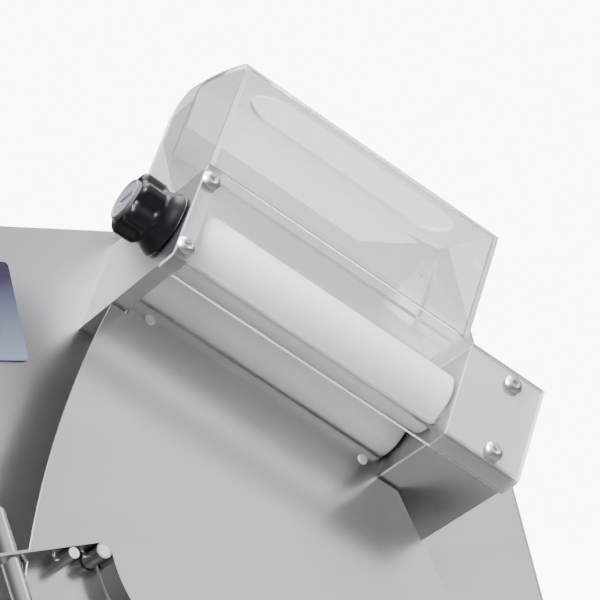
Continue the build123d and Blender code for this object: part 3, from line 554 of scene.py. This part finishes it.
def hopper():
    """Clear box as one solid: a sheet bent over front, roof and back between two flat sides.

    skin runs up the front's outer face and over the roof to the rear bend; lining is the same inside,
    down the back wall.  Sides are the full outline swept over their thickness, and the sheet's own
    section is swept between them, less the roof, which is worked round its slot.
    """
    def sheet(wall, z_front):
        front, rear = bend(FACE, -1, 4.0, wall), bend(BACK_WALL, 1, 6.0, wall)
        zs = np.linspace(front[-1, 1], rear[-1, 1], 13)
        over = np.column_stack([ROOF_CENTRE[0] + np.sqrt((ROOF_RADIUS - wall) ** 2
                                                         - (zs - ROOF_CENTRE[1]) ** 2), zs])
        up = np.column_stack([np.linspace(HOPPER_LOW, front[0, 0], 8)[:-1], np.full(7, z_front)])
        down = np.column_stack([np.linspace(rear[0, 0], BACK_LOW, 8)[1:], np.full(7, BACK_WALL + wall)])
        return np.concatenate([up, front]), zs, over, np.concatenate([rear[::-1], down])

    front, zs, over, back = sheet(0.0, FACE)
    in_front, in_zs, in_over, in_back = sheet(SHEET, FACE - SHEET)
    tail_z = np.linspace(over[-1, 1], REAR_TOP[1], 6)[1:]
    tail = np.concatenate([
        np.column_stack([roof_height(tail_z), tail_z]),
        arc((REAR_TOP[0] - 16.2, REAR_TOP[1] + 0.6), 16, -4, -88, 14),
        [(HOPPER_LOW, REAR_EDGE), (HOPPER_LOW, FACE - SHEET)]])
    outline = np.concatenate([front, over[1:], tail])
    lining = np.concatenate([in_front, in_over[1:], in_back[1:]])
    behind = np.concatenate([lining, back[::-1][:-1], [over[-1]], tail[:-1]])
    xs = np.linspace(HOPPER_WIDTH - SHEET, SHEET, 33)
    left, right = np.array([0.0, SHEET]), np.array([HOPPER_WIDTH - SHEET, HOPPER_WIDTH])
    closed = np.concatenate([outline, outline[:1]])
    outside, outer_slot = roof(xs, zs, 0.0)
    inside, inner_slot = roof(xs, in_zs, SHEET)
    edges = [swept(closed, left), swept(closed, right), grid(np.stack([outer_slot, inner_slot]), close=True),
             swept(front[7:], xs), swept(in_front[7:], xs)]
    panes = [swept(front[:8], xs), swept(in_front[:8], xs), swept(back, xs), swept(in_back, xs),
             swept(np.array([front[0], in_front[0]]), xs), swept(np.array([back[-1], in_back[-1]]), xs),
             outside, inside, cap(outline, 0.0), cap(outline, HOPPER_WIDTH), cap(behind, SHEET),
             cap(behind, HOPPER_WIDTH - SHEET)]
    thing = build("hopper_box", joined(edges + panes), HEADS["upper"][1], "chassis",
                  [look["clear_sheet"], look["clear_edge"]], ("hopper",), 35,
                  sum(len(faces) for _, faces in edges))
    ease(thing, 0.2)


def guard(head):
    """Clear sheet across the head: an upright face with a rounded bend back under it."""
    facts, where = HEADS[head]
    low, back = -facts["height"] - SHEET, FACE - 16.2
    outer = arc((low + 4.5, FACE - 4.5), 4.5, 180, 90, 9)
    inner = arc((low + 4.5, FACE - 4.5), 1.5, 90, 180, 9)
    section = np.concatenate([[(low, back)], outer, [(0, FACE), (0, FACE - SHEET)], inner,
                              [(low + SHEET, back)]])
    xs = np.array([0.0, LEFT_PLATE + facts["free"] + RIGHT_BLOCK])
    ends = [cap(section, xs[0]), cap(section, xs[1])]
    part = joined(ends + [swept(np.concatenate([section, section[:1]]), xs)])
    thing = build(f"{head}_clear_guard", part, where, "chassis",
                  [look["clear_sheet"], look["clear_edge"]], (f"{head}_guard",), 35,
                  sum(len(faces) for _, faces in ends))
    ease(thing, 0.2)


hopper()
for head in HEADS:
    guard(head)


# ------------------------------------------------------------ turned and moulded pieces
def roller(head, which, plate_gap=1.0):
    """White sleeve: a straight cylinder with rounded ends and a shallow ring turned in each end."""
    facts, where = HEADS[head]
    r, length = facts["roller"] / 2, facts["free"] - 2 * plate_gap
    end = np.concatenate([[(6.0, 0.0), (8.6, 0.0), (9.2, 0.8), (10.6, 0.8), (11.2, 0.0)],
                          arc((r - 1.5, 1.5), 1.5, -90, 0, 6)])
    profile = np.concatenate([end, [(r, length / 2)], (end * [1, -1] + [0, length])[::-1]])
    place = within(where, (LEFT_PLATE + plate_gap, facts["axis"], facts[which]),
                   ((0, 1, 0), (0, 0, 1), (1, 0, 0)))
    points, faces = turned(np.concatenate([profile, profile[:1]]), 128)
    build(f"{head}_{which}_sleeve", (points, faces), place, f"{head}_{which}",
          look["roller_white"], (f"{head}_{which}_roller",), 35)


KNOB_R, WAIST_R, SKIRT_R, KNOB_HIGH, LOBES = 18.2, 16.4, 19.0, 26.0, 6


def knob(head):
    """Black grip: a flared skirt and a waist, both S-shaped in (radius, height), then six lobes; the
    end face dips to the seat of the cap."""
    facts, where = HEADS[head]
    rise = np.linspace(1.6, KNOB_HIGH - 4.0, 34)
    narrowing = (WAIST_R - SKIRT_R) * smooth(rise, 0.5, 9.0)
    widening = (KNOB_R - WAIST_R) * smooth(rise, 9.0, 13.0)
    side = SKIRT_R + narrowing + widening
    profile = np.concatenate([
        [(0, 0), (17.0, 0)], arc((SKIRT_R - 1.2, 1.2), 1.2, -90, 0, 5), np.column_stack([side, rise]),
        arc((KNOB_R - 4.0, KNOB_HIGH - 4.0), 4.0, 0, 90, 12)[:-1],
        [(14.4, KNOB_HIGH - 0.05), (13.4, KNOB_HIGH - 0.4), (12.7, KNOB_HIGH - 1.0),
         (12.3, KNOB_HIGH - 1.2), (0, KNOB_HIGH - 1.2)]])

    def lobes(angle, radius, z):
        """A wave of six hollows, 3.4 deep and sharper than a sine, that grows up from the waist."""
        hollow = (0.5 - 0.5 * np.cos(LOBES * angle)) ** 1.3
        edge = 3.4 * hollow * smooth(z, 9.5, 14.0) * smooth(radius, 13.4, 17.0)
        return radius - edge, z

    place = within(where, (-1.0, facts["axis"], facts["front"]), ((0, 0, 1), (0, 1, 0), (-1, 0, 0)))
    build(f"{head}_knob_grip", turned(profile, 216, lobes), place, f"{head}_knob",
          look["black_plastic"], (f"{head}_gap_knob",), 60)

    cap = np.concatenate([
        [(0, 24.9), (12.0, 24.9)], arc((11.5, 27.5), 0.5, 0, 90, 5),
        [(11.0, 28.0), (10.6, 27.75), (10.3, 27.4), (9.9, 27.3)],
        np.column_stack([np.linspace(9.5, 0, 32), np.full(32, 27.3)])])

    def slotted(angle, radius, z):
        """A straight recess across the cap, 3 wide and 13 long, 1.1 deep."""
        x, y = radius * np.cos(angle), radius * np.sin(angle)
        inside = smooth(-np.abs(y), -1.9, -1.3) * smooth(-np.abs(x), -6.9, -6.2)
        return radius, z - 1.1 * inside * (z > 27)

    build(f"{head}_knob_badge", turned(cap, 160, slotted), place, f"{head}_knob",
          look["cap_grey"], (f"{head}_gap_knob_cap",), 50)


def round_head(size=11.2, rise=2.9, socket=4.0, depth=1.8):
    """Domed screw head with a six-sided socket: rings are round on the dome and turn six-sided
    towards the socket, whose wall drops straight to a coned floor."""
    r = size / 2
    ball = (r ** 2 + rise ** 2) / (2 * rise)
    radii = np.concatenate([[0.0, r - 0.35], arc((r - 0.35, 0.35), 0.35, -90, 0, 4)[:, 0],
                            np.linspace(r - 0.02, socket / 2 + 0.8, 12)])
    heights = np.concatenate([[0.0, 0.0], arc((r - 0.35, 0.35), 0.35, -90, 0, 4)[:, 1],
                              0.35 + (np.sqrt(ball ** 2 - np.linspace(r - 0.02, socket / 2 + 0.8, 12) ** 2)
                                      - (ball - rise)) * (rise - 0.35) / rise])
    top = heights[-1]
    inner = np.array([(socket / 2 + 0.25, top + 0.02), (socket / 2, top - 0.12), (socket / 2, top - depth),
                      (0.0, top - depth - 0.5)])
    profile = np.concatenate([np.column_stack([radii, heights]), inner])
    six = np.concatenate([np.zeros(len(radii)), [0.7, 1, 1, 1]])[:, None]

    def sides(angle, radius, z):
        """Mix of the circle and the hexagon of the same flats."""
        corner = radius / np.cos((angle + pi / 6) % (pi / 3) - pi / 6)
        return radius * (1 - six) + corner * six, z

    return turned(profile, 72, sides)


SCREW_ROW, SCREW_INSET, SCREW_LIFT = -9.0, 19.9, 6.3      # upper row, from the right end, lower row
HOPPER_SCREW_Y, HOPPER_SCREW_Z = (85.0, 56.0), 22.8


def screws():
    """All round-headed socket screws: four on each guard and two through the hopper's right side."""
    parts = []
    for facts, (turn, origin) in HEADS.values():
        length = LEFT_PLATE + facts["free"] + RIGHT_BLOCK
        for i, x in enumerate((LEFT_PLATE / 2, length - SCREW_INSET)):
            for j, y in enumerate((SCREW_ROW, SCREW_LIFT - facts["height"])):
                points, faces = round_head()
                spin = radians(17 + 41 * i + 23 * j)
                points = points @ np.array([[cos(spin), sin(spin), 0], [-sin(spin), cos(spin), 0], [0, 0, 1]])
                parts.append(((points + [x, y, FACE]) @ turn.T + origin, faces))
    turn, origin = HEADS["upper"][1]
    for y in HOPPER_SCREW_Y:
        points, faces = round_head(8.4, 2.4, 3.0, 1.4)
        points = points @ np.array([[0, 0, -1], [0, 1, 0], [1, 0, 0]], float)
        parts.append(((points + [HOPPER_WIDTH, y, HOPPER_SCREW_Z]) @ turn.T + origin, faces))
    build("socket_screw_heads", joined(parts), WORLD, "chassis", look["zinc"], ("socket_screws",), 40)


def foot():
    """Rubber foot: tapered, with three turned rings and a dished sole."""
    profile = [(0, 1.2), (10.5, 1.2), (11.5, 0.2), (13.2, 0.0), (14.0, 0.8)]
    for z in (6.0, 11.0, 16.0):
        r = 14 + 3 * z / FOOT_HEIGHT
        profile += [(r, z - 1.0), (r - 0.7, z - 0.4), (r - 0.7, z + 0.4), (r, z + 1.0)]
    profile += [(16.6, FOOT_HEIGHT - 1.2), (16.0, FOOT_HEIGHT - 0.1), (0, FOOT_HEIGHT - 0.1)]
    return turned(profile, 64)


def feet():
    lows = [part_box("base_plate")[k] / MM for k in (0, 1)]
    parts = []
    for x in (lows[0].x + 30, lows[1].x - 30):
        for y in (lows[0].y + 35, lows[1].y - 35):
            points, faces = foot()
            parts.append((points + [x, y, 0], faces))
    build("rubber_feet", joined(parts), WORLD, "chassis", look["rubber_black"], ("feet",), 30)


BUTTON_X, BUTTON_Y = {"start": -166.0, "stop": -134.0}, -51.0


def button(name, x, rise, body, slot):
    """Push button: a dished cap with a rounded edge over its plunger."""
    top = 4 + rise
    profile = np.concatenate([
        [(0, -8), (8.0, -8), (8.0, 4.1), (9.7, 4.1)], arc((9.7 - 1.2, top - 1.2), 1.2, 0, 90, 7),
        np.column_stack([np.linspace(8.0, 0, 12), top - 0.55 * (1 - (np.linspace(8.0, 0, 12) / 8.4) ** 2)])])
    place = within(PANEL, (x, BUTTON_Y, 0), ((1, 0, 0), (0, 1, 0), (0, 0, 1)))
    build(name + "_cap", turned(profile, 96), place, body, look[slot], (name,), 35)


def bezels():
    """Black ring round each button, with a rolled rim and a coned seat."""
    parts = []
    for x in BUTTON_X.values():
        profile = np.concatenate([
            [(8.4, -14), (9.0, -14), (9.0, 0), (12.5, 0)], arc((12.5 - 1.4, 4 - 1.4), 1.4, 0, 90, 7),
            [(10.4, 3.9), (10.05, 3.4), (10.05, 0.9), (8.4, 0.9), (8.4, -14)]])
        points, faces = turned(profile, 96)
        parts.append((points + [x, BUTTON_Y, 0], faces))
    build("button_bezels", joined(parts), PANEL, "chassis", look["black_plastic"],
          ("button_rims",), 35)


def weight():
    """Turned balance weight with chamfered, faintly dished ends."""
    ends = [(0, 0.25), (2.2, 0.0), (3.8, 0.0), (5.0, 1.2)]
    profile = np.array(ends + [(5.0, 26.0)] + [(r, 52 - z) for r, z in reversed(ends)])
    low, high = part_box("balance_weight")
    middle = np.array((low + high) / 2) / MM
    rise = radians(5.9)
    turn = PANEL[0] @ np.array([[cos(rise), 0, -sin(rise)], [sin(rise), 0, cos(rise)], [0, -1, 0]])
    place = (turn, middle - turn @ np.array([0, 0, 26.0]))
    build("turned_weight", turned(profile, 72), place, "balance", look["bright_steel"],
          ("balance_weight",), 30)


SLIDE_FACE = 34.4               # the slide sheet's face above the panel
RIVET_X, RIVET_DROP = (23.3, 167.3), 58.7      # under the upper head, in its own frame
LOW_RIVETS = [(-140.0, -322.0), (118.0, -322.0)]


def rivets():
    """Low turned rivet heads on the slide sheet: two below the upper head, two above the lower."""
    t, (x0, y0) = UPPER["turn"], UPPER["at"]
    spots = [(x0 + x * cos(t) - RIVET_DROP * sin(t), y0 - x * sin(t) - RIVET_DROP * cos(t))
             for x in RIVET_X]
    spots += LOW_RIVETS
    profile = [(0, 0), (3.0, 0), (3.1, 0.15), (2.9, 0.5), (2.5, 0.72), (1.8, 0.8), (1.0, 0.82), (0, 0.82)]
    parts = []
    for x, y in spots:
        points, faces = turned(profile, 48)
        parts.append((points + [x, y, SLIDE_FACE], faces))
    build("slide_rivet_heads", joined(parts), PANEL, "chassis", look["rivet"], ("slide_rivets",), 35)


for head in HEADS:
    roller(head, "front")
    roller(head, "rear")
    knob(head)
screws()
feet()
button("start_button", BUTTON_X["start"], 2.5, "start", "start_green")
button("stop_button", BUTTON_X["stop"], 5.0, "stop", "stop_red")
bezels()
weight()
rivets()

# ------------------------------------------------------------ camera, floor and light
scene = bpy.context.scene
eye = bpy.data.objects.new("camera", bpy.data.cameras.new("camera"))
scene.collection.objects.link(eye)
ahead, right, down = (0.59605, 0.80155, 0.04729), (0.80245, -0.59672, 0.0), (0.02822, 0.03794, -0.99888)
turn = Matrix((right, [-v for v in down], [-v for v in ahead])).transposed()
eye.matrix_world = Matrix.Translation((-1.0366, -1.5060, 0.4355)) @ turn.to_4x4()
eye.data.sensor_width, eye.data.lens, eye.data.clip_start = 36.0, 199.68, 0.05
scene.camera = eye


def floor():
    """Wide flat disc of card, pale to the camera but near black to every other ray, a painted shade under the
    machine and in its reflections; far from the machine it glows to the camera alone and fades into the white
    studio.
    """
    material, tree, shader = finish("pale floor with painted shade", Roughness=0.7)
    wear = placed_group(tree, WEAR, Size=3.0)
    path = node(tree, "LightPath")
    # painted shade: the card is pale only to the camera and near black to all other rays, so the machine's
    # undersides and its reflections of the floor go dark
    card_with_painted_shade = mixed(tree, path.outputs["Is Camera Ray"], (0.14, 0.14, 0.14), (0.72, 0.72, 0.72))
    tree.links.new(card_with_painted_shade, shader.inputs["Base Color"])
    tree.links.new(ranged(tree, wear["Cloud"], 0.66, 0.74), shader.inputs["Roughness"])
    shader.inputs["Emission Color"].default_value = (1, 1, 1, 1)
    far = node(tree, "VectorMath", {0: node(tree, "TexCoord").outputs["Object"]}, operation="LENGTH")
    away = node(tree, "MapRange", {"Value": far.outputs["Value"]}, interpolation_type="SMOOTHSTEP")
    away.inputs["From Min"].default_value, away.inputs["From Max"].default_value = 0.9, 4.0
    fade = node(tree, "Math", {0: path.outputs["Is Camera Ray"], 1: away.outputs["Result"]},
                operation="MULTIPLY")
    tree.links.new(ranged(tree, fade.outputs[0], 0.0, 10.0), shader.inputs["Emission Strength"])
    angle = np.linspace(0, 2 * pi, 64, endpoint=False)[None, :]
    radius = np.array([0.0, 0.5, 2.0, 6.0, 14.0])[:, None]
    points = np.stack([radius * np.cos(angle), radius * np.sin(angle), 0 * radius + 0 * angle], -1)
    mesh = bpy.data.meshes.new("floor")
    part, faces = grid(points, close=True)
    mesh.from_pydata(part.tolist(), [], faces)
    thing = bpy.data.objects.new("floor", mesh)
    scene.collection.objects.link(thing)
    mesh.materials.append(material)


def lamp(name, place, aim, size, power, colour=(1, 1, 1)):
    """Soft square light at place, turned towards aim."""
    data = bpy.data.lights.new(name, "AREA")
    data.shape, data.size, data.energy, data.color = "SQUARE", size, power, colour
    thing = bpy.data.objects.new(name, data)
    scene.collection.objects.link(thing)
    out = np.array(place, float) - np.array(aim, float)
    out /= np.linalg.norm(out)
    side = np.cross([0, 0, 1.0], out)
    side /= np.linalg.norm(side)
    thing.matrix_world = Matrix.Translation(place) @ Matrix(
        [side, np.cross(out, side), out]).transposed().to_4x4()


def sky():
    """Studio light: white overhead, falling to a dim grey below.  What the eye sees straight is plain
    white, and what it sees through nothing but clear sheet is a softer white."""
    world = bpy.data.worlds.new("studio")
    world.use_nodes = True
    scene.world = world
    tree = world.node_tree
    way = node(tree, "SeparateXYZ", {0: node(tree, "TexCoord").outputs["Generated"]})
    height = node(tree, "MapRange", {"Value": way.outputs["Z"]})
    height.inputs["From Min"].default_value, height.inputs["From Max"].default_value = -0.5, 1.0
    shade = tree.nodes.new("ShaderNodeValToRGB")
    tree.links.new(height.outputs["Result"], shade.inputs["Fac"])
    stops = shade.color_ramp.elements
    stops[0].position, stops[0].color = 0.25, (0.02, 0.02, 0.021, 1)
    stops[1].position, stops[1].color = 1.0, (1.0, 1.0, 1.0, 1)
    for place, value in ((0.34, 0.10), (0.55, 0.26), (0.75, 0.75)):
        stop = stops.new(place)
        stop.color = (value, value, value * 1.01, 1)
    seen, soft = tree.nodes["Background"], node(tree, "Background", Strength=1.15)
    tree.links.new(shade.outputs["Color"], soft.inputs["Color"])
    seen.inputs["Color"].default_value = (1, 1, 1, 1)
    path = node(tree, "LightPath")
    tree.links.new(ranged(tree, path.outputs["Is Camera Ray"], 2.0, 10.0), seen.inputs["Strength"])
    bounced = node(tree, "Math", {0: path.outputs["Diffuse Depth"], 1: path.outputs["Glossy Depth"]},
                   operation="ADD")
    straight = node(tree, "Math", {0: path.outputs["Is Transmission Ray"], 1: bounced.outputs[0]},
                    operation="SUBTRACT")
    either = node(tree, "Math", {0: path.outputs["Is Camera Ray"], 1: straight.outputs[0]},
                  operation="MAXIMUM", use_clamp=True)
    choice = node(tree, "MixShader", {0: either.outputs[0], 1: soft.outputs[0], 2: seen.outputs[0]})
    tree.links.new(choice.outputs[0], tree.nodes["World Output"].inputs["Surface"])


floor()
sky()
lamp("key", (-1.2, -0.7, 2.3), (0, -0.05, 0.45), 1.0, 125)
lamp("sheen", (2.0, -1.6, 1.75), (0, -0.05, 0.4), 1.5, 8)
lamp("top", (0.2, 0.6, 2.4), (0, 0, 0.5), 1.6, 60)
